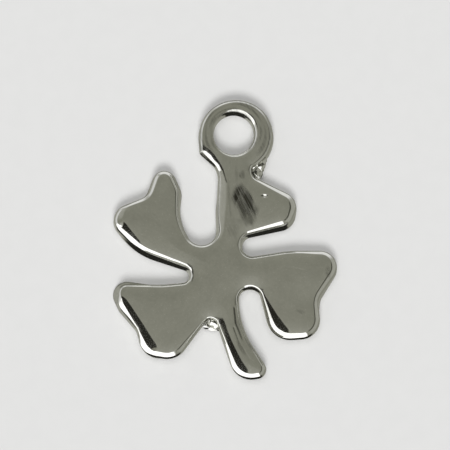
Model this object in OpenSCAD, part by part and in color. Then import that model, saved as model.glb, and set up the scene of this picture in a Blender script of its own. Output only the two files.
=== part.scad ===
// Four leaf clover pendant: one cast plate of four heart leaves and a curved stem, with a
// round hanging loop above it and two thin webs left between the leaves by the casting.
// Millimetres. The origin is the clover's hub on the flat back, +Y runs up towards the
// loop and +Z comes out of the front.

/* [Clover plate] */
// Distance from the hub that the outline tables count as one
leaf_reach = 6; // [6:0.1:6.6]
// Thickness of the plate
plate_thickness = 1; // [0.8:0.05:1.3]
// Height of the widest line of the rounded edge, as a share of the thickness
waist_share = 0.45; // [0.35:0.05:0.6]
// Width of the rounded rim on the front, from the outline in to the flat
front_rim = 0.4; // [0.3:0.02:0.4]
// Width of the rounded rim on the back
back_rim = 0.22; // [0.1:0.02:0.3]

/* [Hanging loop] */
// Outer radius of the loop
loop_radius = 1.88; // [1.8:0.02:2]
// Bearing of the loop's centre seen from the hub, anticlockwise from +X
loop_bearing = 81.9; // [81.2:0.1:82.6]
// Distance of the loop's centre from the hub, as a share of the reach
loop_distance = 1.123; // [1.11:0.001:1.13]
// Height of the loop's crown above the plate, and of its underside above the back
loop_lift = 0.03; // [0.02:0.01:0.06]
// Width of the rounding round the loop's outer edge on the front
loop_front_round = 0.38; // [0.25:0.01:0.45]
// Width of the rounding round the loop's outer edge on the back
loop_back_round = 0.25; // [0.15:0.01:0.35]

/* [Bore] */
// Radius of the bore that a jump ring passes through
bore_radius = 1; // [0.8:0.05:1.1]
// How far the bore's centre lies to the left of the loop's centre
bore_left = 0.12; // [0:0.01:0.15]
// How far the bore's centre lies above the loop's centre
bore_up = 0.12; // [0:0.01:0.15]
// Width of the rounded mouth of the bore on the front
front_mouth = 0.24; // [0.1:0.01:0.3]
// Width of the rounded mouth of the bore on the back
back_mouth = 0.14; // [0.05:0.01:0.2]

/* [Casting webs] */
// Height of the underside of the webs above the back
web_base = 0.15; // [0.1:0.05:0.25]
// Height of the top of the webs above the back
web_top = 0.6; // [0.45:0.05:0.7]

/* [Hidden] */
arc_step = 8;          // largest turn between two outline points, degrees
back_levels = 3;       // steps of the rounded edge below its widest line
front_levels = 5;      // steps of the rounded edge above it
round_steps = 5;       // steps of each rounding of the loop and the bore
loop_facets = 96;
clearance = 0.5;       // how far the bore's cutter flares out past the metal
waist = waist_share * plate_thickness;
loop_base = loop_lift;
loop_top = plate_thickness + loop_lift;
loop_waist = loop_base + waist_share * (loop_top - loop_base);

// Columns of the outline tables: the bearing of a circle's centre seen from the hub, its
// distance and its radius as shares of leaf_reach, whether the outline bulges out or
// hollows in there, and its share of the rim's width.
function bearing(c) = c[0];
function distance(c) = c[1];
function radius(c) = c[2];
function side(c) = c[3] == "bulge" ? 1 : -1;
function rim_share(c) = c[4];

// The tables follow the outline anticlockwise, starting on the left of the neck.
neck_left_side = [
    [105.1, 0.771, 0.214, "hollow", 0.5],
    [ 51.7, 0.606, 0.387, "bulge",  0.5],
    [112.2, 0.341, 0.121, "hollow", 0.55]
];
upper_left_leaf = [
    [ 77.2, 0.509, 0.419, "hollow", 0.55],
    [126.7, 0.767, 0.163, "bulge",  0.9],
    [121.3, 0.849, 0.104, "bulge",  0.9],
    [134.3, 0.972, 0.109, "hollow", 1],
    [151.0, 0.839, 0.132, "bulge",  1],
    [108.1, 0.792, 0.727, "bulge",  1],
    [192.9, 0.303, 0.061, "hollow", 0.65]
];
lower_left_leaf = [
    [135.7, 0.664, 0.610, "hollow", 0.7],
    [196.8, 0.779, 0.119, "bulge",  1],
    [202.1, 0.746, 0.159, "bulge",  1],
    [217.1, 0.977, 0.122, "hollow", 1],
    [230.9, 0.760, 0.171, "bulge",  1],
    [234.6, 0.719, 0.185, "bulge",  1],
    [264.7, 0.499, 0.063, "hollow", 0.35]
];
stem = [
    [290.7, 0.812, 0.185, "bulge",  1],
    [291.0, 0.921, 0.079, "bulge",  0.95],
    [324.2, 0.683, 0.375, "hollow", 0.7],
    [314.9, 0.387, 0.091, "hollow", 0.4]
];
lower_right_leaf = [
    [327.1, 0.750, 0.204, "bulge",  1],
    [327.4, 0.820, 0.165, "bulge",  1],
    [342.5, 1.058, 0.155, "hollow", 1],
    [  0.0, 0.858, 0.140, "bulge",  1],
    [310.9, 1.032, 0.930, "bulge",  1],
    [ 30.2, 0.338, 0.076, "hollow", 0.6]
];
upper_right_leaf = [
    [ 47.6, 0.656, 0.179, "bulge",  1],
    [ 44.0, 0.729, 0.139, "bulge",  1],
    [ 65.3, 0.898, 0.072, "hollow", 0.35]
];
shoulder_in_loop = [
    [ 72.6, 1.085, 0.068, "bulge",  0.3],
    [ 96.2, 0.994, 0.042, "bulge",  0.5]
];
clover = concat(neck_left_side, upper_left_leaf, lower_left_leaf, stem, lower_right_leaf,
                upper_right_leaf, shoulder_in_loop);

// The webs fill the tight corner under the loop and the one between the stem and its leaf.
web_below_loop = [
    [ 66.5, 0.976, 0.017, "bulge", 0],
    [ 71.0, 0.898, 0.017, "bulge", 0],
    [ 65.7, 0.819, 0.017, "bulge", 0]
];
web_beside_stem = [
    [257.6, 0.487, 0.017, "bulge", 0],
    [272.4, 0.514, 0.017, "bulge", 0],
    [266.4, 0.400, 0.017, "bulge", 0]
];

function place(angle, share) = leaf_reach * share * [cos(angle), sin(angle)];
function centre(c) = place(bearing(c), distance(c));
function radius_at(c, inset) = leaf_reach * radius(c) - side(c) * rim_share(c) * inset;

// Heading of the straight line that leaves circle a and runs into circle b.
function heading(a, b, inset) =
    let (gap = centre(b) - centre(a),
         lean = side(b) * radius_at(b, inset) - side(a) * radius_at(a, inset))
    atan2(gap.y, gap.x) - asin(lean / norm(gap));

// Turn from one heading to another round a bulge (anticlockwise) or a hollow (clockwise).
function turn(into, out, way) = way * ((way * (out - into) % 360 + 360) % 360);

// Points of the belt that runs round the circles of a table, drawn in by an inset. Every
// inset has the same number of points, so the rings of the rim join one to one.
function belt(table, inset) = [
    for (i = [0:len(table) - 1])
        let (c = table[i],
             before = table[(i + len(table) - 1) % len(table)],
             after = table[(i + 1) % len(table)],
             into = heading(before, c, inset),
             sweep = turn(into, heading(c, after, inset), side(c)),
             plain_sweep = turn(heading(before, c, 0), heading(c, after, 0), side(c)),
             steps = ceil(abs(plain_sweep) / arc_step))
        for (k = [0:steps])
            let (h = into + sweep * k / steps)
            centre(c) - side(c) * radius_at(c, inset) * [-sin(h), cos(h)]
];

// Triangles that fill a polygon: corners with no other point inside them are cut off one
// after another, moving on after each cut so that no fan of slivers grows from one point.
function is_left(a, b, p) = cross(b - a, p - a) >= 0;
function holds(a, b, c, p) = is_left(a, b, p) && is_left(b, c, p) && is_left(c, a, p);
function is_clear(points, left, a, b, c) =
    len([for (i = left)
        if (i != a && i != b && i != c && holds(points[a], points[b], points[c], points[i])) i
    ]) == 0;
function without(left, at) = [for (i = [0:len(left) - 1]) if (i != at) left[i]];
function triangles(points, left, at, done) =
    len(left) == 3 ? concat(done, [left]) :
    let (n = len(left),
         here = at % n,
         a = left[(here + n - 1) % n],
         b = left[here],
         c = left[(here + 1) % n],
         is_corner = cross(points[b] - points[a], points[c] - points[b]) > 0)
    is_corner && is_clear(points, left, a, b, c)
        ? triangles(points, without(left, here), here + 1, concat(done, [[a, b, c]]))
        : triangles(points, left, here + 1, done);
function filled(points) = triangles(points, [for (i = [0:len(points) - 1]) i], 0, []);

// Rings of the rounded edge from the back flat over the widest line to the front flat, each
// as [inset, height].
edge_rings = concat(
    [for (k = [back_levels:-1:0])
        let (a = 90 * k / back_levels)
        [back_rim * (1 - cos(a)), waist * (1 - sin(a))]],
    [for (k = [1:front_levels])
        let (a = 90 * k / front_levels)
        [front_rim * (1 - cos(a)), waist + (plate_thickness - waist) * sin(a)]]
);

// Arc of a rounding as a fan of points about a centre.
function arc(middle, across, up, from, to) = [
    for (k = [0:round_steps])
        let (a = from + (to - from) * k / round_steps)
        middle + [across * cos(a), up * sin(a)]
];

module plate() {
    rings = [for (ring = edge_rings) [for (p = belt(clover, ring[0])) [p.x, p.y, ring[1]]]];
    n = len(rings[0]);
    top = (len(rings) - 1) * n;
    back_fill = filled(belt(clover, edge_rings[0][0]));
    front_fill = filled(belt(clover, edge_rings[len(edge_rings) - 1][0]));
    edge = [
        for (r = [0:len(rings) - 2], i = [0:n - 1], half = [0, 1])
            let (low = r * n + i,
                 low_next = r * n + (i + 1) % n,
                 high = low + n,
                 high_next = low_next + n)
            half == 0 ? [low, high, high_next] : [low, high_next, low_next]
    ];
    front = [for (t = front_fill) [top + t[2], top + t[1], top + t[0]]];
    polyhedron(points = [for (ring = rings) each ring], faces = concat(back_fill, edge, front));
}

module loop_body() {
    middle = place(loop_bearing, loop_distance);
    back_arc = arc([loop_radius - loop_back_round, loop_waist], loop_back_round,
                   loop_waist - loop_base, -90, 0);
    front_arc = arc([loop_radius - loop_front_round, loop_waist], loop_front_round,
                    loop_top - loop_waist, 0, 90);
    translate([middle.x, middle.y, 0])
        rotate_extrude($fn = loop_facets)
            polygon(concat([[0, loop_base]], back_arc,
                           [for (k = [1:round_steps]) front_arc[k]], [[0, loop_top]]));
}

module bore() {
    middle = place(loop_bearing, loop_distance);
    wall_low = loop_base + back_mouth;
    wall_high = loop_top - front_mouth;
    back_lip = arc([bore_radius + back_mouth, wall_low], back_mouth, back_mouth, 270, 180);
    front_lip = arc([bore_radius + front_mouth, wall_high], front_mouth, front_mouth, 180, 90);
    translate([middle.x - bore_left, middle.y + bore_up, 0])
        rotate_extrude($fn = loop_facets)
            polygon(concat([[0, -clearance], [bore_radius + back_mouth + clearance, -clearance]],
                           back_lip, front_lip,
                           [[bore_radius + front_mouth + clearance, loop_top + clearance],
                            [0, loop_top + clearance]]));
}

module web(table) {
    translate([0, 0, web_base])
        linear_extrude(web_top - web_base)
            polygon(belt(table, 0));
}

module clover_pendant() {
    color("silver")
        difference() {
            union() {
                plate();
                loop_body();
                web(web_below_loop);
                web(web_beside_stem);
            }
            bore();
        }
}

clover_pendant();
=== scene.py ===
"""Four leaf clover pendant of polished steel, lying on its flat back on a pale table.

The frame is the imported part: metres, the origin at the clover's hub on the flat back, +Y
towards the hanging loop and +Z out of the front. The classes hold millimetres and degrees.
"""

import logging
import math
from dataclasses import dataclass
from enum import Enum

import bmesh
import bpy
from mathutils import Matrix, Vector, noise
from mathutils.bvhtree import BVHTree
from mathutils.kdtree import KDTree


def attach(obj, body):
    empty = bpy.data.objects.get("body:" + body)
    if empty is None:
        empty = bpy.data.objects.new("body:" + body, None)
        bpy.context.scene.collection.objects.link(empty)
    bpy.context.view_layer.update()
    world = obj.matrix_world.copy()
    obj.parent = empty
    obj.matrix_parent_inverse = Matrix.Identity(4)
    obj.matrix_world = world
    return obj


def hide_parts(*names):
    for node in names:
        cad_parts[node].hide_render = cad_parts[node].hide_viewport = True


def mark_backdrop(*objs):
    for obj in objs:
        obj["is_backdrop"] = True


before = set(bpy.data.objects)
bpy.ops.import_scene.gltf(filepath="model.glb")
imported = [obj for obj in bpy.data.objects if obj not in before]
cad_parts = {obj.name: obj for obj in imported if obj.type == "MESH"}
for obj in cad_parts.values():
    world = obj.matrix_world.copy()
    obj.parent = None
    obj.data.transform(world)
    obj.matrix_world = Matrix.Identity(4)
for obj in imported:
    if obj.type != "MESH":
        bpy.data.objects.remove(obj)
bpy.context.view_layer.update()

log = logging.getLogger("clover_pendant")

# Short names for the types of Blender that the hints below repeat.
Mesh, Tree, Socket = bmesh.types.BMesh, bpy.types.NodeTree, bpy.types.NodeSocket

MM = 0.001
REACH = 6.0  # mm from the hub that the outline's shares count as one
SAME_PLACE = 1e-4  # mm; places nearer than this count as one
OFF_THE_FLAT = 1e-5  # mm; a grid point further from a flat than this lies outside it
SMALL_PIT = 0.2  # mm; a dip narrower than this needs a finer mesh
TARNISH_AND_SHADE = "tarnish_and_shade"  # the front's attribute that the steel reads

# Each pattern reads its own layer of the noise, so that no two run alike.
TEAR_LAYER, WAVE_LAYER, RING_LAYER, STREAK_LAYER = 1.3, 3.7, 5.0, 8.1


class Side(Enum):
    """Which way the outline turns round a circle."""

    BULGE = 1
    HOLLOW = -1


@dataclass(frozen=True)
class Level:
    """A ring of the plate's edge.

    Wall is how far up the side wall it lies, from 0 to 1, and rim how far in over the
    rounded rim. Foot is what the rounded foot takes off, and height is above the back.
    """

    height: float
    wall: float = 0.0
    rim: float = 0.0
    foot: float = 0.0


SHOULDER_LINE = Level(0.5, wall=1.0)  # where the side wall meets the rounded rim


@dataclass(frozen=True)
class Turn:
    """One circle that the clover's outline runs round.

    Bearing and distance give its centre from the hub, distance and radius are shares of
    REACH. Rim is the width of the rounded rim there, and wall is how far the side wall
    spreads on its way down from the rim, or draws in under it if it is below zero.
    """

    bearing: float
    distance: float
    radius: float
    side: Side
    rim: float
    wall: float

    def centre(self) -> Vector:
        """Return the circle's centre."""
        angle = math.radians(self.bearing)
        return Vector((math.cos(angle), math.sin(angle))) * self.distance * REACH

    def reach_at(self, level: Level) -> float:
        """Return the radius at a level of the plate's edge."""
        leant = level.wall if self.wall > 0.0 else level.wall - 1.0
        inset = self.rim * level.rim + self.wall * leant + level.foot
        return self.radius * REACH - self.side.value * inset


NECK_LEFT = (
    Turn(103.9, 0.762, 0.192, Side.HOLLOW, 0.13, -0.05),
    Turn(51.7, 0.606, 0.387, Side.BULGE, 0.13, 0.03),
    Turn(112.2, 0.341, 0.121, Side.HOLLOW, 0.19, 0.05),
)
UPPER_LEFT_LEAF = (
    Turn(77.2, 0.509, 0.419, Side.HOLLOW, 0.20, 0.05),
    Turn(126.7, 0.767, 0.163, Side.BULGE, 0.26, 0.06),
    Turn(121.3, 0.849, 0.104, Side.BULGE, 0.28, 0.06),
    Turn(134.3, 0.972, 0.109, Side.HOLLOW, 0.26, 0.08),
    Turn(151.2, 0.830, 0.136, Side.BULGE, 0.20, 0.02),
    Turn(118.2, 0.708, 0.583, Side.BULGE, 0.26, 0.08),
    Turn(192.9, 0.303, 0.061, Side.HOLLOW, 0.19, 0.03),
)
LOWER_LEFT_LEAF = (
    Turn(135.7, 0.664, 0.602, Side.HOLLOW, 0.22, 0.05),
    Turn(196.8, 0.779, 0.119, Side.BULGE, 0.16, 0.24),
    Turn(201.7, 0.733, 0.159, Side.BULGE, 0.26, 0.07),
    Turn(217.1, 0.977, 0.122, Side.HOLLOW, 0.10, 0.01),
    Turn(230.9, 0.760, 0.171, Side.BULGE, 0.28, -0.04),
    Turn(234.6, 0.719, 0.185, Side.BULGE, 0.27, -0.10),
    Turn(263.7, 0.500, 0.055, Side.HOLLOW, 0.10, -0.02),
)
STEM = (
    Turn(290.7, 0.812, 0.185, Side.BULGE, 0.25, -0.10),
    Turn(291.0, 0.921, 0.079, Side.BULGE, 0.25, -0.10),
    Turn(343.3, 0.957, 0.733, Side.HOLLOW, 0.16, -0.05),
    Turn(314.9, 0.387, 0.091, Side.HOLLOW, 0.16, -0.05),
)
LOWER_RIGHT_LEAF = (
    Turn(326.3, 0.735, 0.204, Side.BULGE, 0.31, -0.12),
    Turn(327.4, 0.820, 0.165, Side.BULGE, 0.28, -0.12),
    Turn(342.5, 1.058, 0.155, Side.HOLLOW, 0.26, 0.06),
    Turn(0.0, 0.858, 0.140, Side.BULGE, 0.30, 0.0),
    Turn(310.9, 1.032, 0.930, Side.BULGE, 0.20, 0.06),
    Turn(31.5, 0.348, 0.087, Side.HOLLOW, 0.20, 0.02),
)
UPPER_RIGHT_LEAF = (
    Turn(42.1, 0.692, 0.143, Side.BULGE, 0.30, 0.08),
    Turn(44.0, 0.729, 0.139, Side.BULGE, 0.34, 0.02),
    Turn(65.3, 0.898, 0.072, Side.HOLLOW, 0.20, 0.02),
)
LOOP_AND_SPUR = (
    Turn(81.9, 1.123, 0.3135, Side.BULGE, 0.20, 0.02),
    Turn(96.6, 0.988, 0.034, Side.BULGE, 0.18, -0.05),
)
CLOVER = (NECK_LEFT + UPPER_LEFT_LEAF + LOWER_LEFT_LEAF + STEM + LOWER_RIGHT_LEAF
          + UPPER_RIGHT_LEAF + LOOP_AND_SPUR)


@dataclass(frozen=True)
class Station:
    """A place along the outline: a share of the way round a turn, or on to the next."""

    turn: int
    share: float
    on_turn: bool


@dataclass(frozen=True)
class Outline:
    """The belt that runs round a row of turns, and how finely it is divided."""

    turns: tuple[Turn, ...]
    degrees_per_step: float = 3.0
    run_step: float = 0.06

    def passage(self, index: int, level: Level) -> tuple[float, float]:
        """Return how the outline goes from a turn to the next one.

        Turns that lie apart are joined by the straight run that touches both. Where they
        cut each other, as in the crotch under the loop, the outline has a corner.

        Args:
            index: Position of the turn that the outline leaves.
            level: The level of the plate's edge.

        Returns:
            The headings on leaving this turn and on entering the next, in radians.
        """
        here = self.turns[index % len(self.turns)]
        there = self.turns[(index + 1) % len(self.turns)]
        gap = there.centre() - here.centre()
        near, far = here.reach_at(level), there.reach_at(level)
        lean = there.side.value * far - here.side.value * near
        if abs(lean) < gap.length:
            heading = math.atan2(gap.y, gap.x) - math.asin(lean / gap.length)
            return heading, heading
        ahead = (near * near - far * far + gap.length_squared) / (2.0 * gap.length)
        along = gap.normalized()
        across = Vector((-along.y, along.x))
        corner = along * ahead + across * math.sqrt(near * near - ahead * ahead)
        rays = ((here, corner), (there, corner - gap))
        leaving, entering = (math.atan2(t.side.value * r.x, -t.side.value * r.y) for t, r in rays)
        return leaving, entering

    def sweep(self, index: int, level: Level) -> tuple[float, float]:
        """Return how the outline goes round a turn.

        Args:
            index: Position of the turn.
            level: The level of the plate's edge.

        Returns:
            The heading on entering it and the angle swept round it, in radians.
        """
        way = self.turns[index].side.value
        start = self.passage(index - 1, level)[1]
        end = self.passage(index, level)[0]
        return start, way * ((way * (end - start)) % math.tau)

    def on_arc(self, index: int, share: float, level: Level) -> Vector:
        """Return a point on a turn.

        Args:
            index: Position of the turn.
            share: How far round it, from 0 to 1.
            level: The level of the plate's edge.

        Returns:
            The point, seen from the front.
        """
        turn = self.turns[index]
        start, sweep = self.sweep(index, level)
        angle = start + sweep * share
        outwards = Vector((math.sin(angle), -math.cos(angle))) * turn.side.value
        return turn.centre() + outwards * turn.reach_at(level)

    def place(self, station: Station, level: Level) -> Vector:
        """Return where a station lies.

        Args:
            station: The place along the outline.
            level: The level of the plate's edge.

        Returns:
            The point, seen from the front.
        """
        if station.on_turn:
            return self.on_arc(station.turn, station.share, level)
        after = (station.turn + 1) % len(self.turns)
        leaving = self.on_arc(station.turn, 1.0, level)
        return leaving.lerp(self.on_arc(after, 0.0, level), station.share)

    def stations(self) -> list[Station]:
        """Divide the whole outline.

        Returns:
            The stations in order round it.
        """
        found = []
        for index in range(len(self.turns)):
            _, sweep = self.sweep(index, SHOULDER_LINE)
            steps = max(2, math.ceil(abs(math.degrees(sweep)) / self.degrees_per_step))
            after = (index + 1) % len(self.turns)
            leaving = self.on_arc(index, 1.0, SHOULDER_LINE)
            run = (self.on_arc(after, 0.0, SHOULDER_LINE) - leaving).length
            meets = run < SAME_PLACE
            found += [Station(index, k / steps, True) for k in range(steps + (not meets))]
            cuts = 1 if meets else math.ceil(run / self.run_step)
            found += [Station(index, k / cuts, False) for k in range(1, cuts)]
        return found


def smooth_step(value: float, low: float, high: float) -> float:
    """Return 0 below low, 1 above high and a smooth rise between."""
    t = min(1.0, max(0.0, (value - low) / (high - low)))
    return t * t * (3.0 - 2.0 * t)


@dataclass(frozen=True)
class Facet:
    """A slope that the polishing wheel left beyond a fold in the front.

    The fold runs through the points of line, and the front falls away to the right of it
    as it runs. Degrees is how steeply it falls, soft the half width over which the slope
    begins, fade the length at each end over which it dies away, and width its reach.
    """

    line: tuple[tuple[float, float], ...]
    degrees: float
    soft: float = 0.04
    fade: float = 0.25
    width: float = 0.7

    def folds(self) -> list[tuple[Vector, Vector, float]]:
        """Return each straight part of the fold: its start, its direction, its length."""
        points = [Vector(p) for p in self.line]
        return [(a, (b - a).normalized(), (b - a).length) for a, b in zip(points, points[1:])]

    def drop(self, x: float, y: float) -> float:
        """Return how far the front falls at a place.

        It is measured from the nearest part of the fold, so it has no step at its bends.

        Args:
            x, y: The place, from the hub.

        Returns:
            The fall in millimetres.
        """
        folds = self.folds()
        whole = sum(length for _, _, length in folds)
        nearest, away, run, passed = math.inf, 0.0, 0.0, 0.0
        for index, (start, along, length) in enumerate(folds):
            there = Vector((x, y)) - start
            t = there.dot(along)
            aside = there.x * along.y - there.y * along.x
            short = -t if index > 0 else 0.0
            beyond = t - length if index < len(folds) - 1 else 0.0
            far = math.hypot(aside, max(0.0, short, beyond))
            if far < nearest:
                nearest, away, run = far, math.copysign(far, aside), passed + t
            passed += length
        if not -self.soft < away < self.width:
            return 0.0
        share = smooth_step(run, -self.fade, self.fade)
        share *= 1.0 - smooth_step(run, whole - self.fade, whole + self.fade)
        eased = (away + self.soft) ** 2 / (4.0 * self.soft) if away < self.soft else away
        return math.tan(math.radians(self.degrees)) * eased * share

    def is_beside(self, spot: Vector, reach: float) -> bool:
        """Return whether a place lies within reach of the fold's soft edge.

        Args:
            spot: The place, seen from the front.
            reach: How near it has to be.

        Returns:
            Whether it is.
        """
        for start, along, length in self.folds():
            there = spot - start
            if (-self.fade < there.dot(along) < length + self.fade
                    and abs(there.x * along.y - there.y * along.x) < self.soft + reach):
                return True
        return False


@dataclass(frozen=True)
class Patch:
    """A patch of the front: its middle, its size across and up, and its lean.

    Turned is how far its height leans to the left of upright.
    """

    at: tuple[float, float]
    size: tuple[float, float]
    turned: float

    def inside(self, x: float, y: float) -> tuple[float, float]:
        """Return how far across and up the patch a place lies, in shares of its size."""
        dx, dy = x - self.at[0], y - self.at[1]
        c, s = math.cos(math.radians(self.turned)), math.sin(math.radians(self.turned))
        return (dx * c + dy * s) / self.size[0], (dy * c - dx * s) / self.size[1]


@dataclass(frozen=True)
class Dimple(Patch):
    """A soft round or oval dip in the front.

    Size holds its half widths, and it is felt out to a few of them.
    """

    depth: float
    felt_to: float = 3.0

    def drop(self, x: float, y: float) -> float:
        """Return how far the front falls at a place."""
        across, up = self.inside(x, y)
        far = across * across + up * up
        return self.depth * math.exp(-far) if far < self.felt_to ** 2 else 0.0

    def is_beside(self, spot: Vector, reach: float) -> bool:
        """Return whether this is a small pit and a place lies within reach of it."""
        widest = max(self.size)
        return widest < SMALL_PIT and (spot - Vector(self.at)).length < 2.0 * widest + reach


@dataclass(frozen=True)
class Scoop(Patch):
    """A shallow torn hollow: it slopes down from its right side and has a streaky floor.

    Size holds its whole width and half its height. Slope and bank are the shares of its
    width on its right and left, level the share of its height that keeps the full depth.
    Torn is the share of the depth that its streaks take, and streaks how often they change
    across and up it.
    """

    depth: float
    torn: float
    slope: float = 0.62
    bank: float = 0.38
    level: float = 0.35
    streaks: tuple[float, float] = (2.6, 1.4)

    def drop(self, x: float, y: float) -> float:
        """Return how far the front falls at a place.

        Args:
            x, y: The place, from the hub.

        Returns:
            The fall in millimetres.
        """
        across, up = self.inside(x, y)
        if abs(across) > 0.5 or abs(up) > 1.0:
            return 0.0
        down = min(1.0, (0.5 - across) / self.slope, (0.5 + across) / self.bank)
        ends = 1.0 - smooth_step(abs(up), self.level, 1.0)
        where = Vector((across * self.streaks[0], up * self.streaks[1], TEAR_LAYER))
        return self.depth * down * ends * (1.0 + self.torn * noise.noise(where))


@dataclass(frozen=True)
class Scratch:
    """A fine scratch along a line of points."""

    line: tuple[tuple[float, float], ...]
    half_width: float
    depth: float

    def drop(self, x: float, y: float) -> float:
        """Return how far the front falls at a place.

        Args:
            x, y: The place, from the hub.

        Returns:
            The fall in millimetres.
        """
        near = self.half_width
        for (ax, ay), (bx, by) in zip(self.line, self.line[1:]):
            run = (bx - ax, by - ay)
            t = ((x - ax) * run[0] + (y - ay) * run[1]) / (run[0] ** 2 + run[1] ** 2)
            t = min(1.0, max(0.0, t))
            near = min(near, math.hypot(x - ax - run[0] * t, y - ay - run[1] * t))
        return self.depth * (1.0 - near / self.half_width)


@dataclass(frozen=True)
class Relief:
    """All that breaks the flat of the front: facets, hollows and a slow waviness."""

    facets: tuple[Facet, ...]
    dimples: tuple[Dimple, ...]
    scoops: tuple[Scoop, ...]
    scratches: tuple[Scratch, ...]
    wave_length: float = 1.9
    wave_height: float = 0.016

    def drop(self, x: float, y: float) -> float:
        """Return how far the front lies below its plane at a place.

        Args:
            x, y: The place, from the hub.

        Returns:
            The fall in millimetres.
        """
        parts = self.facets + self.dimples + self.scoops + self.scratches
        fall = sum(part.drop(x, y) for part in parts)
        wave = noise.noise(Vector((x / self.wave_length, y / self.wave_length, WAVE_LAYER)))
        return fall + self.wave_height * (1.0 + wave)


RELIEF = Relief(
    facets=(
        Facet(((-4.62, 2.24), (-4.33, 1.85), (-3.86, 1.26)), 9.5, 0.04, 0.12),
        Facet(((-4.70, -1.50), (-4.52, -1.68), (-4.30, -1.99), (-3.74, -2.86), (-2.95, -4.06)),
              8.5, 0.04, 0.16),
        Facet(((0.36, -2.72), (0.53, -3.28), (0.74, -3.80), (1.02, -4.38), (1.26, -4.84),
               (1.57, -5.24)), 9.0),
        Facet(((2.20, -1.20), (2.62, -1.86), (2.99, -2.44), (3.33, -2.90), (3.64, -3.26)), 8.0),
        Facet(((-0.74, 6.22), (-0.35, 5.94), (-0.14, 5.70), (-0.02, 5.50)), 8.0, 0.03, 0.2),
        Facet(((-0.88, 5.96), (-0.52, 5.83), (-0.33, 5.68), (-0.20, 5.46)), 14.0, 0.03, 0.2, 0.6),
        Facet(((-2.05, 0.34), (-1.62, 0.12), (-1.40, -0.18)), 8.5, 0.03, 0.12, 0.4),
        Facet(((-0.02, 5.44), (0.28, 4.90), (0.50, 4.25), (0.50, 3.36), (0.42, 2.34),
               (0.30, 1.52)), 18.0, 0.10, 0.4, 0.7),
        Facet(((-4.30, 3.20), (-4.60, 2.80), (-4.72, 2.40)), 16.0, 0.06, 0.25, 0.5),
    ),
    dimples=(
        Dimple((2.38, 3.57), (0.13, 0.07), 0.0, 0.045),
        Dimple((-3.60, 2.90), (0.28, 0.75), 38.0, 0.012),
        Dimple((5.30, 0.05), (0.22, 0.60), -28.0, 0.012),
    ),
    scoops=(
        Scoop((1.40, 3.20), (0.66, 1.20), 20.0, 0.042, 0.3),
        Scoop((1.22, 4.62), (0.25, 0.30), 10.0, 0.012, 0.5),
    ),
    scratches=(
        Scratch(((3.42, -0.06), (3.90, -0.12), (4.42, -0.24)), 0.06, 0.004),
        Scratch(((-3.22, 2.52), (-3.10, 2.36)), 0.06, 0.006),
        Scratch(((-3.02, 2.33), (-2.96, 2.20)), 0.05, 0.005),
        Scratch(((2.05, 3.20), (2.32, 2.30)), 0.05, 0.003),
        Scratch(((0.90, -2.10), (0.98, -2.90), (1.30, -3.70), (1.72, -4.30)), 0.08, 0.011),
        Scratch(((1.14, -2.50), (1.30, -3.20), (1.66, -3.92), (1.98, -4.36)), 0.06, 0.012),
        Scratch(((0.86, -3.10), (1.16, -3.95), (1.66, -4.75)), 0.07, 0.012),
    ),
)


@dataclass(frozen=True)
class StainAndShade(Patch):
    """A ragged dark patch in the front's colour: tarnished metal in some places, painted shade in
    others.

    Size holds its half widths, and strength is how dark its middle is, from 0 to 1. Its
    edge fades between two shares of the half width and wanders by the share ragged.
    """

    strength: float
    edge: tuple[float, float] = (0.45, 1.15)
    ragged: float = 0.45
    felt_to: float = 1.5
    streaks_per_mm: tuple[float, float] = (6.0, 1.4)

    def strength_at(self, x: float, y: float) -> float:
        """Return how dark the tarnish is at a place.

        Args:
            x, y: The place, from the hub.

        Returns:
            The darkness, from 0 to 1.
        """
        across, up = self.inside(x, y)
        far = math.hypot(across, up)
        if far > self.felt_to:
            return 0.0
        where = Vector((across * self.size[0] * self.streaks_per_mm[0],
                        up * self.size[1] * self.streaks_per_mm[1], STREAK_LAYER))
        wandered = far + self.ragged * noise.noise(where)
        return self.strength * (1.0 - smooth_step(wandered, *self.edge))


@dataclass(frozen=True)
class RingStreaks:
    """Faint dark streaks in the front's colour that run round the loop.

    They lie between two radii about their middle. Changes says how often they change on
    the way round, shown which of them show, and foot how high up the ring they come in,
    from -1 at its foot to 1 at its crown.
    """

    at: tuple[float, float]
    inner: float
    outer: float
    strength: float
    streaks_per_mm: float = 9.0
    changes: float = 1.3
    shown: tuple[float, float] = (-0.25, 0.45)
    foot: tuple[float, float] = (-0.9, -0.4)

    def strength_at(self, x: float, y: float) -> float:
        """Return how dark the streaks are at a place.

        Args:
            x, y: The place, from the hub.

        Returns:
            The darkness, from 0 to 1.
        """
        dx, dy = x - self.at[0], y - self.at[1]
        far = math.hypot(dx, dy)
        if not self.inner < far < self.outer:
            return 0.0
        streak = noise.noise(Vector((far * self.streaks_per_mm, dx / far * self.changes,
                                     dy / far * self.changes + RING_LAYER)))
        return (self.strength * smooth_step(streak, *self.shown)
                * smooth_step(dy / far, *self.foot))


# Dark patches in the front's colour. The first five darken it across the scoop on the neck; the
# three thin lines at the end of the left slot are painted shade in its crease.
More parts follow.
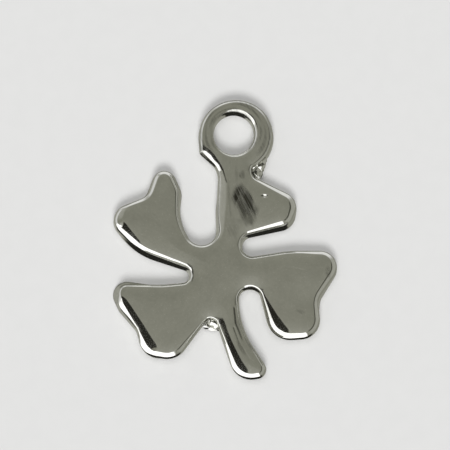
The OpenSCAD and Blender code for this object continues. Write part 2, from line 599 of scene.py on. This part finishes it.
STAINS_AND_SHADE = (
    StainAndShade((0.97, 3.62), (0.21, 0.62), -14.0, 1.00),
    StainAndShade((1.58, 3.25), (0.27, 0.88), 21.0, 1.0),
    StainAndShade((1.42, 3.00), (0.50, 0.95), 20.0, 0.68),
    StainAndShade((1.20, 3.74), (0.24, 0.44), 4.0, 0.85),
    StainAndShade((1.62, 2.36), (0.30, 0.40), 10.0, 0.50),
    StainAndShade((0.62, 3.30), (0.08, 1.20), 4.0, 0.20),
    StainAndShade((0.96, 4.60), (0.10, 0.60), 2.0, 0.16),
    StainAndShade((1.25, 4.62), (0.16, 0.26), 10.0, 0.45),
    StainAndShade((5.52, -0.34), (0.16, 0.34), 10.0, 0.35),
    StainAndShade((4.15, -2.30), (0.24, 0.12), -20.0, 0.22),
    StainAndShade((0.80, 1.90), (0.30, 0.60), 8.0, 0.18),
    StainAndShade((1.06, -3.20), (0.10, 0.75), 18.0, 0.24),
    StainAndShade((1.58, -3.95), (0.07, 0.50), 32.0, 0.38),
    StainAndShade((1.22, -4.20), (0.12, 0.50), 30.0, 0.34),
    # Painted shade: black lines round the end of the left slot, where its crease lies in shade.
    StainAndShade((-1.38, 0.03), (0.045, 0.24), 48.0, 1.00),
    StainAndShade((-1.22, -0.30), (0.04, 0.26), 6.0, 1.00),
    StainAndShade((-1.23, -0.64), (0.04, 0.20), -13.0, 0.90),
    RingStreaks((0.83, 6.76), 1.10, 1.95, 0.42),
)


def rounding(steps: int, slimness: float = 0.6, crowd: float = 1.6) -> list[float]:
    """Divide a quarter of an ellipse so that its slope changes by small steps at the top.

    Args:
        steps: Number of steps.
        slimness: The ellipse's width over its height.
        crowd: How strongly the steps crowd where the surface is nearly level; 1 is even.

    Returns:
        The ellipse's own angles, from 0 where it stands upright to a quarter turn.
    """
    tilts = [math.pi / 2 * (1.0 - k / steps) ** crowd for k in range(1, steps + 1)]
    return [0.0] + [math.atan2(1.0, slimness * math.tan(t)) for t in tilts]


@dataclass(frozen=True)
class Oval:
    """An upright oval seen from the front: its centre and its two half widths."""

    centre: tuple[float, float]
    half: tuple[float, float]

    def towards(self, other: "Oval", share: float) -> "Oval":
        """Return the oval a share of the way to another one."""
        mixed = [a + (b - a) * share for a, b in zip(self.centre + self.half,
                                                     other.centre + other.half)]
        return Oval((mixed[0], mixed[1]), (mixed[2], mixed[3]))


@dataclass(frozen=True)
class Bore:
    """The hole of the loop, rounded at the back and opening wider and askew in front."""

    wall: Oval = Oval((0.829, 6.785), (1.02, 1.07))
    mouth: Oval = Oval((0.975, 6.77), (1.19, 1.285))
    back_round: float = 0.10
    mouth_depth: float = 0.30
    steps: int = 14
    parts: int = 180

    def cut(self, shell: Mesh, thickness: float) -> tuple[list, list]:
        """Make the bore's back mouth, wall and front mouth.

        Args:
            shell: The mesh that receives the rings.
            thickness: Height of the front above the back.

        Returns:
            The edges of the ring in the back and of the ring in the front.
        """
        wide = Oval(self.wall.centre, tuple(h + self.back_round for h in self.wall.half))
        quarter = rounding(self.steps, 1.0)
        low = thickness - self.mouth_depth
        rings = [(wide.towards(self.wall, math.sin(a)), self.back_round * (1.0 - math.cos(a)))
                 for a in quarter]
        rings += [(self.wall.towards(self.mouth, 1.0 - math.cos(a)),
                   low + self.mouth_depth * math.sin(a)) for a in quarter]
        made = []
        for oval, height in rings:
            laid = (Matrix.Translation((*oval.centre, height))
                    @ Matrix.Diagonal((*oval.half, 1.0, 1.0)))
            circle = bmesh.ops.create_circle(shell, segments=self.parts, radius=1.0,
                                             matrix=laid)["verts"]
            made.append(list({e for v in circle for e in v.link_edges}))
            if len(made) > 1:
                bmesh.ops.bridge_loops(shell, edges=made[-2] + made[-1])
        return made[0], made[-1]


@dataclass
class CloverPlate:
    """The pendant's one casting: four leaves, stem, neck and the hanging loop.

    Foot is the height of the rounded foot and shoulder that of the rim's lower edge. The
    front falls off by crown towards its outline and by mouth_crown towards the bore. Its
    grid keeps clear of the rims by the share rim_gap of a square, and is cut down to the
    lengths in fold_steps beside folds and pits.
    """

    outline: Outline
    relief: Relief
    thickness: float = 1.0
    foot: float = 0.14
    shoulder: float = 0.55
    foot_steps: int = 4
    wall_steps: int = 3
    rim_steps: int = 16
    back_step: float = 0.6
    mesh_step: float = 0.045
    rim_gap: float = 0.8
    fold_steps: tuple[float, ...] = (0.03, 0.018)
    crown: float = 0.08
    crown_width: float = 0.35
    mouth_crown: float = 0.02
    mouth_parts: int = 4
    bore: Bore = Bore()

    def levels(self) -> list[Level]:
        """List the rings of the edge.

        Returns:
            The levels from the back flat to the front flat.
        """
        rise = self.thickness - self.shoulder
        foot = [math.pi / 2 * (1.0 - k / self.foot_steps) for k in range(self.foot_steps)]
        wall = [k / self.wall_steps for k in range(self.wall_steps)]
        return ([Level(self.foot * (1.0 - math.sin(a)), foot=self.foot * (1.0 - math.cos(a)))
                 for a in foot]
                + [Level(self.foot + (self.shoulder - self.foot) * w, w) for w in wall]
                + [Level(self.shoulder + rise * math.sin(a), 1.0, 1.0 - math.cos(a))
                   for a in rounding(self.rim_steps)])

    def edge(self, shell: Mesh) -> tuple[list, list]:
        """Lay the back ring along the outline and extrude it up level by level.

        Args:
            shell: The mesh that receives the rings.

        Returns:
            The edges of the ring on the back and of the ring on the front.
        """
        stations = self.outline.stations()
        levels = self.levels()
        ring = [shell.verts.new((0.0, 0.0, 0.0)) for _ in stations]
        edges = [shell.edges.new((a, ring[(i + 1) % len(ring)])) for i, a in enumerate(ring)]
        back_edges = edges
        self.settle(ring, stations, levels[0])
        for level in levels[1:]:
            grown = bmesh.ops.extrude_edge_only(shell, edges=edges)["geom"]
            fresh = {g for g in grown if isinstance(g, bmesh.types.BMVert)}
            ring = [next(e.other_vert(v) for e in v.link_edges if e.other_vert(v) in fresh)
                    for v in ring]
            edges = [shell.edges.get((a, ring[(i + 1) % len(ring)])) for i, a in enumerate(ring)]
            self.settle(ring, stations, level)
        return back_edges, edges

    def settle(self, ring: list, stations: list[Station], level: Level) -> None:
        """Move a ring's corners to their stations at a level."""
        for corner, station in zip(ring, stations):
            spot = self.outline.place(station, level)
            corner.co = (spot.x, spot.y, level.height)

    def close(self, shell: Mesh, rims: list, step: float) -> None:
        """Fill a flat with an even grid and a narrow strip that joins it to its rims.

        Args:
            shell: The mesh that receives the faces.
            rims: The edges round the flat and round its hole.
            step: The width of the grid's squares.
        """
        along = [e.verts[0].co.lerp(e.verts[1].co, (k + 0.5) / parts) for e in rims
                 for parts in [math.ceil(2.0 * e.calc_length() / step)] for k in range(parts)]
        near = KDTree(len(along))
        for index, spot in enumerate(along):
            near.insert(spot, index)
        near.balance()
        fill = bmesh.ops.triangle_fill(shell, use_beauty=True, edges=rims)["geom"]
        flat = BVHTree.FromBMesh(shell)
        bmesh.ops.delete(shell, geom=[g for g in fill if isinstance(g, bmesh.types.BMFace)],
                         context="FACES")
        left, right = min(p.x for p in along), max(p.x for p in along)
        bottom, top = min(p.y for p in along), max(p.y for p in along)
        columns, rows = math.ceil((right - left) / step), math.ceil((top - bottom) / step)
        middle = ((left + right) / 2.0, (bottom + top) / 2.0, along[0].z)
        laid = (Matrix.Translation(middle)
                @ Matrix.Diagonal((columns * step / 2.0, rows * step / 2.0, 1.0, 1.0)))
        grid = bmesh.ops.create_grid(shell, x_segments=columns, y_segments=rows, size=1.0,
                                     matrix=laid)["verts"]
        odd = [v for v in grid if flat.find_nearest(v.co)[3] > OFF_THE_FLAT
               or near.find(v.co)[2] < self.rim_gap * step]
        while odd:
            bmesh.ops.delete(shell, geom=odd, context="VERTS")
            grid = [v for v in grid if v.is_valid]
            odd = [v for v in grid if sum(len(e.link_faces) < 2 for e in v.link_edges) > 2
                   or not v.link_faces]
        border = {e for v in grid for e in v.link_edges if len(e.link_faces) == 1}
        bmesh.ops.triangle_fill(shell, use_beauty=True, edges=rims + list(border))

    def refine(self, shell: Mesh) -> None:
        """Divide the front more finely along folds and at small pits, so they stay crisp.

        Args:
            shell: The plate's mesh, with its front still flat.
        """
        flat = self.thickness - SAME_PLACE
        fine = self.relief.facets + self.relief.dimples
        for length in self.fold_steps:
            near = []
            for edge in shell.edges:
                a, b = (v.co for v in edge.verts)
                if min(a.z, b.z) > flat and (a - b).length > length:
                    middle = (a.xy + b.xy) / 2.0
                    if any(part.is_beside(middle, length) for part in fine):
                        near.append(edge)
            bmesh.ops.subdivide_edges(shell, edges=near, cuts=1, use_grid_fill=False)
            odd = [f for f in shell.faces if len(f.verts) > 4
                   or (len(f.verts) == 4 and f.calc_center_median().z > flat)]
            bmesh.ops.triangulate(shell, faces=odd)

    def crown_over(self, shell: Mesh, outline: list, mouth: list) -> None:
        """Let the front swell up gently from its edges, and mark where its colour darkens, for
        tarnished metal and for painted shade at the end of the left slot.

        Args:
            shell: The plate's mesh.
            outline: Points of the outline.
            mouth: Points of the bore's mouth.
        """
        rims = []
        for points, height in ((outline, self.crown), (mouth, self.mouth_crown)):
            tree = KDTree(len(points))
            for index, spot in enumerate(points):
                tree.insert((*spot, 0.0), index)
            tree.balance()
            rims.append((tree, height))
        tarnish_and_shade = shell.verts.layers.float.new(TARNISH_AND_SHADE)
        for corner in shell.verts:
            x, y, height = corner.co
            share = smooth_step(height, self.shoulder, self.thickness)
            if share > 0.0:
                fall = sum(crown * math.exp(-tree.find((x, y, 0.0))[2] / self.crown_width)
                           for tree, crown in rims)
                corner.co.z -= share * (fall + self.relief.drop(x, y))
                # Darkness painted into the colour: tarnished metal, and painted shade at the end
                # of the left slot.
                corner[tarnish_and_shade] = max(stain.strength_at(x, y) for stain in STAINS_AND_SHADE)

    def build(self) -> bpy.types.Object:
        """Build the whole casting as one closed mesh.

        Returns:
            The new object, at the origin, in metres.
        """
        shell = bmesh.new()
        back, front = self.edge(shell)
        bore_back, bore_front = self.bore.cut(shell, self.thickness)
        self.close(shell, back + bore_back, self.back_step)
        self.close(shell, front + bore_front, self.mesh_step)
        self.refine(shell)
        fine = Outline(self.outline.turns, degrees_per_step=1.0, run_step=0.02)
        outline = [tuple(fine.place(s, SHOULDER_LINE)) for s in fine.stations()]
        mouth = [tuple(e.verts[0].co.xy.lerp(e.verts[1].co.xy, k / self.mouth_parts))
                 for e in bore_front for k in range(self.mouth_parts)]
        self.crown_over(shell, outline, mouth)
        bmesh.ops.recalc_face_normals(shell, faces=shell.faces)
        return finished(shell, "clover_plate", MM)


@dataclass(frozen=True)
class CastingWeb:
    """A thin crumpled web of metal that the casting left in a tight corner.

    Corners are its outline from the front, base and top its heights above the back.
    Crumple is how far its points are pushed about, in lumps of the size grain, and its
    underside rises and falls by the share lift of that. Seed sets the random pushes.
    """

    name: str
    corners: tuple[tuple[float, float], ...]
    base: float = 0.15
    top: float = 0.72
    cuts: int = 6
    crumple: float = 0.16
    grain: float = 0.17
    lift: float = 0.2
    seed: int = 4

    def build(self) -> bpy.types.Object:
        """Build the web as a closed crumpled wedge.

        Returns:
            The new object, at the origin, in metres.
        """
        noise.seed_set(self.seed)
        web = bmesh.new()
        foot = bmesh.ops.create_circle(web, cap_ends=True, segments=len(self.corners),
                                       radius=1.0)["verts"]
        for corner, spot in zip(foot, self.corners):
            corner.co = (*spot, self.base)
        grown = bmesh.ops.extrude_face_region(web, geom=web.faces[:])["geom"]
        for corner in (g for g in grown if isinstance(g, bmesh.types.BMVert)):
            corner.co.z = self.top
        bmesh.ops.subdivide_edges(web, edges=web.edges[:], cuts=self.cuts, use_grid_fill=True)
        bmesh.ops.triangulate(web, faces=web.faces[:])
        for corner in web.verts:
            push = noise.noise_vector(corner.co / self.grain)
            push.z *= 1.0 if corner.co.z > self.base + SAME_PLACE else self.lift
            corner.co += push * self.crumple
        bmesh.ops.recalc_face_normals(web, faces=web.faces[:])
        return finished(web, self.name, MM, smooth=False)


WEBS = (
    CastingWeb("web_below_loop", ((2.50, 5.56), (1.66, 5.24), (2.00, 4.30)), grain=0.13),
    CastingWeb("web_beside_stem", ((-0.60, -2.92), (0.10, -3.16), (-0.20, -2.56)),
               top=0.60, cuts=3),
)


def finished(shell: Mesh, name: str, unit: float = 1.0,
             smooth: bool = True) -> bpy.types.Object:
    """Turn a mesh under construction into an object at the origin.

    Args:
        shell: The mesh; it is freed here.
        name: The new object's name.
        unit: The mesh's unit of length, in metres.
        smooth: Whether its faces are shaded as one smooth skin.

    Returns:
        The object, linked to the scene.
    """
    bmesh.ops.scale(shell, vec=(unit, unit, unit), verts=shell.verts)
    for face in shell.faces:
        face.smooth = smooth
    mesh = bpy.data.meshes.new(name)
    shell.to_mesh(mesh)
    shell.free()
    piece = bpy.data.objects.new(name, mesh)
    bpy.context.scene.collection.objects.link(piece)
    return piece


def linear(hex_colour: str) -> tuple[float, float, float, float]:
    """Turn an sRGB hex colour into linear light with full alpha."""
    parts = [int(hex_colour[i:i + 2], 16) / 255.0 for i in (1, 3, 5)]
    light = [p / 12.92 if p <= 0.04045 else ((p + 0.055) / 1.055) ** 2.4 for p in parts]
    return (light[0], light[1], light[2], 1.0)


def add_node(tree: Tree, kind: str, settings: dict | None = None,
             links: dict | None = None) -> bpy.types.Node:
    """Add a node with its settings and links.

    Args:
        tree: The node tree that receives it.
        kind: The node's type name after ShaderNode.
        settings: Values by the name of a property, or by an input's name or number.
        links: Output sockets by the input that they feed.

    Returns:
        The new node.
    """
    node = tree.nodes.new("ShaderNode" + kind)
    for key, value in (settings or {}).items():
        if isinstance(key, str) and hasattr(node, key):
            setattr(node, key, value)
        else:
            node.inputs[key].default_value = value
    for key, socket in (links or {}).items():
        tree.links.new(socket, node.inputs[key])
    return node


def new_tree(owner: bpy.types.Material | bpy.types.World) -> Tree:
    """Give a material or a world an empty node tree and return it."""
    owner.use_nodes = True
    owner.node_tree.nodes.clear()
    return owner.node_tree


# The inputs "from" of a Map Range node for a noise, most of whose values lie between these.
MOST_OF_A_NOISE = {1: 0.3, 2: 0.7}


@dataclass(frozen=True)
class PolishedSteel:
    """Stainless steel, cast and then tumbled bright.

    The eye sees a mirror with a faint olive cast. The tumbling chips leave hairlines about
    0.03 mm apart, drawn here 0.08 mm apart so that they show, and a mottled skin whose
    patches are 0.1 to 1 mm wide. Dark oxidised metal stays where the chips didn't reach, and
    the same dark colour is painted as shade in the crease at the end of the left slot.
    """

    colour: str = "#cfcfca"
    oxide_and_shade: str = "#45443c"
    patches_per_mm: float = 1.1
    grains_per_mm: float = 9.0
    grain_share: float = 0.35
    mottling: tuple[float, float] = (0.92, 1.06)
    roughness: tuple[float, float] = (0.07, 0.14)
    oxide_and_shade_roughness: float = 0.28
    oxide_and_shade_gaps: tuple[float, float] = (0.6, 1.15)
    hairlines_per_mm: float = 12.0
    hairline_length: float = 1.7
    hairline_depth: float = 0.0006
    hairline_ways: tuple[float, float] = (28.0, -64.0)

    def build(self) -> bpy.types.Material:
        """Build the material.

        Returns:
            The new material.
        """
        skin = bpy.data.materials.new("polished_steel")
        tree = new_tree(skin)
        spot = add_node(tree, "TexCoord").outputs["Object"]
        mm = add_node(tree, "VectorMath",
                      {"operation": "SCALE", "Scale": 1.0 / MM}, {0: spot}).outputs[0]
        patches = add_node(tree, "TexNoise",
                           {"Scale": self.patches_per_mm, "Detail": 3.0, "Roughness": 0.6},
                           {"Vector": mm}).outputs["Fac"]
        grain = add_node(tree, "TexNoise",
                         {"Scale": self.grains_per_mm, "Detail": 2.0, "Roughness": 0.5},
                         {"Vector": mm}).outputs["Fac"]
        hairs, crossing = (self.hairlines(tree, mm, way) for way in self.hairline_ways)
        lines = add_node(tree, "Math", {"operation": "ADD"},
                         {0: hairs, 1: crossing}).outputs[0]
        shade = add_node(tree, "Mix", {"data_type": "FLOAT", 0: self.grain_share},
                         {2: patches, 3: grain}).outputs[0]
        light = add_node(tree, "MapRange",
                         {**MOST_OF_A_NOISE, 3: self.mottling[0], 4: self.mottling[1]},
                         {0: shade}).outputs[0]
        metal = add_node(tree, "VectorMath",
                         {"operation": "SCALE", 0: linear(self.colour)[:3]},
                         {"Scale": light}).outputs[0]
        # The marked spots take the dark colour: oxidised metal in places, painted shade at the
        # end of the left slot.
        mark = add_node(tree, "Attribute", {"attribute_name": TARNISH_AND_SHADE}).outputs["Fac"]
        torn = add_node(tree, "MapRange",
                        {1: 0.35, 2: 0.65, 3: self.oxide_and_shade_gaps[0], 4: self.oxide_and_shade_gaps[1]},
                        {0: crossing}).outputs[0]
        dark = add_node(tree, "Math", {"operation": "MULTIPLY", "use_clamp": True},
                        {0: mark, 1: torn}).outputs[0]
        colour = add_node(tree, "Mix", {"data_type": "RGBA", 7: linear(self.oxide_and_shade)},
                          {0: dark, 6: metal}).outputs[2]
        dull = add_node(tree, "MapRange",
                        {**MOST_OF_A_NOISE, 3: self.roughness[0], 4: self.roughness[1]},
                        {0: patches}).outputs[0]
        rough = add_node(tree, "Math",
                         {"operation": "MULTIPLY_ADD", 1: self.oxide_and_shade_roughness},
                         {0: dark, 2: dull}).outputs[0]
        bump = add_node(tree, "Bump",
                        {"Strength": 1.0, "Distance": self.hairline_depth * MM},
                        {"Height": lines}).outputs["Normal"]
        steel = add_node(tree, "BsdfPrincipled", {"Metallic": 1.0},
                         {"Base Color": colour, "Roughness": rough, "Normal": bump})
        add_node(tree, "OutputMaterial", {}, {"Surface": steel.outputs["BSDF"]})
        return skin

    def hairlines(self, tree: Tree, mm: Socket,
                  turned: float) -> Socket:
        """Return fine broken lines.

        Args:
            tree: The material's node tree.
            mm: The place on the piece in millimetres.
            turned: The direction that the lines run in, in degrees from +X.

        Returns:
            Their height, from 0 to 1.
        """
        laid = add_node(tree, "Mapping",
                        {"vector_type": "TEXTURE",
                         "Rotation": (0.0, 0.0, math.radians(turned)),
                         "Scale": (self.hairline_length, 1.0 / self.hairlines_per_mm, 1.0)},
                        {"Vector": mm})
        return add_node(tree, "TexNoise", {"Scale": 1.0, "Detail": 1.0},
                        {"Vector": laid.outputs[0]}).outputs["Fac"]


@dataclass(frozen=True)
class TablePaper:
    """Plain matt white paper: pale, with no gloss.

    Its fibres clump every 0.8 mm, which gives a cloudiness that the eye barely sees.
    """

    colour: str = "#d6d6d5"
    fibre: float = 0.8
    cloudiness: float = 0.015

    def build(self) -> bpy.types.Material:
        """Build the material.

        Returns:
            The new material.
        """
        skin = bpy.data.materials.new("table_paper")
        tree = new_tree(skin)
        spot = add_node(tree, "TexCoord").outputs["Object"]
        fibres = add_node(tree, "TexNoise",
                          {"Scale": 1.0 / (self.fibre * MM), "Detail": 2.0}, {"Vector": spot})
        shade = add_node(tree, "MapRange",
                         {**MOST_OF_A_NOISE, 3: 1.0 - self.cloudiness, 4: 1.0},
                         {0: fibres.outputs["Fac"]})
        paper = add_node(tree, "VectorMath",
                         {"operation": "SCALE", 0: linear(self.colour)[:3]},
                         {"Scale": shade.outputs[0]})
        sheet = add_node(tree, "BsdfPrincipled",
                         {"Roughness": 1.0, "Specular IOR Level": 0.0},
                         {"Base Color": paper.outputs[0]})
        add_node(tree, "OutputMaterial", {}, {"Surface": sheet.outputs["BSDF"]})
        return skin


@dataclass(frozen=True)
class Gaze:
    """Where in the sky a ray looks: its direction, that laid level, and its tilt."""

    direction: Socket
    level: Socket
    tilt: Socket


def angle_from(tree: Tree, direction: Socket,
               axis: tuple[float, float, float]) -> Socket:
    """Return the angle between a direction and an axis of length one, in radians."""
    dot = add_node(tree, "VectorMath", {"operation": "DOT_PRODUCT", 1: axis},
                   {0: direction})
    return add_node(tree, "Math", {"operation": "ARCCOSINE"},
                    {0: dot.outputs["Value"]}).outputs[0]


@dataclass(frozen=True)
class Panel:
    """A soft panel or screen of the studio, by its place in the sky.

    Azimuth is measured anticlockwise from +X and tilt from straight up.
    """

    name: str
    azimuth: float
    half_width: float
    tilts: tuple[float, float]
    soft: float
    level: float

    def edges(self, tree: Tree, gaze: Gaze) -> list[tuple]:
        """Find the panel's edges.

        Args:
            tree: The world's node tree.
            gaze: Where the ray looks.

        Returns:
            For each edge the angle it is measured by, its value and if it is the far one.
        """
        azimuth = math.radians(self.azimuth)
        away = angle_from(tree, gaze.level, (math.cos(azimuth), math.sin(azimuth), 0.0))
        return [(away, self.half_width, True), (gaze.tilt, self.tilts[0], False),
                (gaze.tilt, self.tilts[1], True)]


@dataclass(frozen=True)
class Spot:
    """A round light or dark thing in the studio, by its place in the sky."""

    name: str
    azimuth: float
    tilt: float
    radius: float
    soft: float
    level: float

    def edges(self, tree: Tree, gaze: Gaze) -> list[tuple]:
        """Find the spot's one edge.

        Args:
            tree: The world's node tree.
            gaze: Where the ray looks.

        Returns:
            The angle it is measured by, its value and that it is the far one, in a list.
        """
        azimuth, lean = math.radians(self.azimuth), math.radians(self.tilt)
        axis = (math.cos(azimuth) * math.sin(lean), math.sin(azimuth) * math.sin(lean),
                math.cos(lean))
        return [(angle_from(tree, gaze.direction, axis), self.radius, True)]


@dataclass(frozen=True)
class Studio:
    """Plain soft studio light: a grey room with panels, seen by reflection only.

    Base is the level of the mirrored sky and room that of the light on the table. Dim
    parts have the tint shade and bright ones glow, over the levels that tinted gives.
    """

    base: float = 0.38
    room: float = 0.45
    shade: str = "#e7e7d5"
    glow: str = "#e7e7e7"
    tinted: tuple[float, float] = (0.35, 0.95)
    shapes: tuple[Panel | Spot, ...] = (
        Spot("near_haze", 262.0, 18.0, 18.0, 17.0, 0.66),
        Spot("far_haze", 90.0, 36.0, 12.0, 12.0, 0.46),
        Panel("far_glow", 90.0, 84.0, (62.0, 124.0), 10.0, 1.35),
        Panel("left_glow", 180.0, 62.0, (34.0, 110.0), 12.0, 0.56),
        Panel("left_shine", 180.0, 50.0, (56.0, 114.0), 8.0, 1.15),
        Panel("right_glow", 0.0, 50.0, (55.0, 110.0), 10.0, 0.60),
        Panel("right_dark", 0.0, 44.0, (19.0, 44.0), 4.0, 0.10),
        Panel("below_far", 90.0, 60.0, (130.0, 190.0), 10.0, 0.27),
        Panel("below_left", 190.0, 62.0, (110.0, 190.0), 10.0, 0.55),
        Panel("below_right", 0.0, 50.0, (110.0, 190.0), 10.0, 0.42),
        Panel("below_near", 260.0, 57.0, (108.0, 190.0), 4.0, 0.03),
        Panel("near_softbox", 244.0, 54.0, (23.0, 108.0), 3.0, 2.6),
        Panel("left_dark", 189.0, 26.0, (10.5, 31.0), 2.0, 0.035),
    )

    def build(self) -> None:
        """Give the scene its world."""
        world = bpy.data.worlds.new("studio")
        bpy.context.scene.world = world
        tree = new_tree(world)
        direction = add_node(tree, "TexCoord").outputs["Generated"]
        split = add_node(tree, "SeparateXYZ", {}, {0: direction})
        tilt = add_node(tree, "Math", {"operation": "ARCCOSINE"},
                        {0: split.outputs["Z"]}).outputs[0]
        flat = add_node(tree, "VectorMath",
                        {"operation": "MULTIPLY", 1: (1.0, 1.0, 0.0)}, {0: direction})
        level = add_node(tree, "VectorMath", {"operation": "NORMALIZE"},
                         {0: flat.outputs[0]}).outputs[0]
        start = add_node(tree, "Value")
        start.outputs[0].default_value = self.base
        light = start.outputs[0]
        for shape in self.shapes:
            light = self.add_shape(tree, shape, Gaze(direction, level, tilt), light)
        seen = add_node(tree, "LightPath").outputs["Is Glossy Ray"]
        mixed = add_node(tree, "Mix", {"data_type": "FLOAT", 2: self.room},
                         {0: seen, 3: light})
        white = add_node(tree, "MapRange",
                         {1: self.tinted[0], 2: self.tinted[1]}, {0: light})
        whiter = add_node(tree, "Mix", {"data_type": "FLOAT", 2: 1.0},
                          {0: seen, 3: white.outputs[0]})
        tint = add_node(tree, "Mix",
                        {"data_type": "RGBA", 6: linear(self.shade), 7: linear(self.glow)},
                        {0: whiter.outputs[0]})
        back = add_node(tree, "Background", {},
                        {"Color": tint.outputs[2], "Strength": mixed.outputs[0]})
        add_node(tree, "OutputWorld", {}, {"Surface": back.outputs[0]})
        world.cycles.sampling_method = "NONE"

    def add_shape(self, tree: Tree, shape: Panel | Spot, gaze: Gaze,
                  light: Socket) -> Socket:
        """Lay one shape over the sky.

        Args:
            tree: The world's node tree.
            shape: The panel or spot.
            gaze: Where the ray looks.
            light: The sky's level so far.

        Returns:
            The sky's level with the shape in it.
        """
        mask = None
        for angle, at, is_far in shape.edges(tree, gaze):
            low, high = (1.0, 0.0) if is_far else (0.0, 1.0)
            side = add_node(tree, "MapRange",
                            {"interpolation_type": "SMOOTHSTEP",
                             1: math.radians(at - shape.soft), 2: math.radians(at + shape.soft),
                             3: low, 4: high}, {0: angle}).outputs[0]
            mask = side if mask is None else add_node(
                tree, "Math", {"operation": "MULTIPLY"}, {0: mask, 1: side}).outputs[0]
        return add_node(tree, "Mix", {"data_type": "FLOAT", 3: shape.level},
                        {0: mask, 2: light}).outputs[0]


@dataclass(frozen=True)
class Lamp:
    """A far lamp that lights the table and isn't seen in the polish.

    Lean is its tilt from straight up, towards the stem, and width how wide it looks from
    the table.
    """

    name: str
    lean: float
    width: float
    strength: float

    def build(self) -> None:
        """Add the lamp."""
        lamp = bpy.data.lights.new(self.name, "SUN")
        lamp.energy = self.strength
        lamp.angle = math.radians(self.width)
        holder = bpy.data.objects.new(self.name, lamp)
        holder.rotation_euler = (math.radians(self.lean), 0.0, 0.0)
        holder.visible_glossy = False
        bpy.context.scene.collection.objects.link(holder)


KEY_LAMP = Lamp("key_lamp", 36.0, 22.0, 2.0)
FILL_LAMP = Lamp("fill_lamp", -8.0, 40.0, 0.90)


@dataclass(frozen=True)
class Table:
    """The pale table top that the pendant lies on."""

    half_side: float = 600.0
    sink: float = 0.01
    squares: int = 8

    def build(self) -> bpy.types.Object:
        """Build the table top.

        Returns:
            None, since mark_backdrop gives nothing back; the table top is marked as part of the
            stage.
        """
        top = bmesh.new()
        bmesh.ops.create_grid(top, x_segments=self.squares, y_segments=self.squares,
                              size=self.half_side * MM,
                              matrix=Matrix.Translation((0.0, 0.0, -self.sink * MM)))
        piece = finished(top, "table_top")
        piece.data.materials.append(TablePaper().build())
        piece.visible_glossy = False
        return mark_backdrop(piece)


@dataclass(frozen=True)
class PhotoCamera:
    """A long lens above the pendant, leaning a little towards its stem."""

    lean: float = 11.0
    distance: float = 300.0
    view_width: float = 22.5
    nearest: float = 10.0
    aim: tuple[float, float, float] = (0.4, 2.19, 0.45)

    def build(self) -> None:
        """Add the camera and make it the scene's own."""
        lens = bpy.data.cameras.new("photo_camera")
        lens.lens = lens.sensor_width * self.distance / self.view_width
        lens.clip_start = self.nearest * MM
        camera = bpy.data.objects.new("photo_camera", lens)
        lean = math.radians(self.lean)
        away = Vector((0.0, -math.sin(lean), math.cos(lean))) * self.distance
        camera.location = (Vector(self.aim) + away) * MM
        camera.rotation_euler = (lean, 0.0, 0.0)
        bpy.context.scene.collection.objects.link(camera)
        bpy.context.scene.camera = camera


def main() -> None:
    """Build the studio and the pendant, and report each piece."""
    logging.basicConfig(level=logging.INFO)
    bpy.context.scene.view_settings.view_transform = "Standard"
    PhotoCamera().build()
    Studio().build()
    KEY_LAMP.build()
    FILL_LAMP.build()
    Table().build()
    steel = PolishedSteel().build()
    for part in (CloverPlate(Outline(CLOVER), RELIEF), *WEBS):
        piece = part.build()
        piece.data.materials.append(steel)
        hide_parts("clover_pendant")
        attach(piece, "root")
        log.info("%s: %d corners, %d faces", piece.name, len(piece.data.vertices),
                 len(piece.data.polygons))


if __name__ == "__main__":
    main()
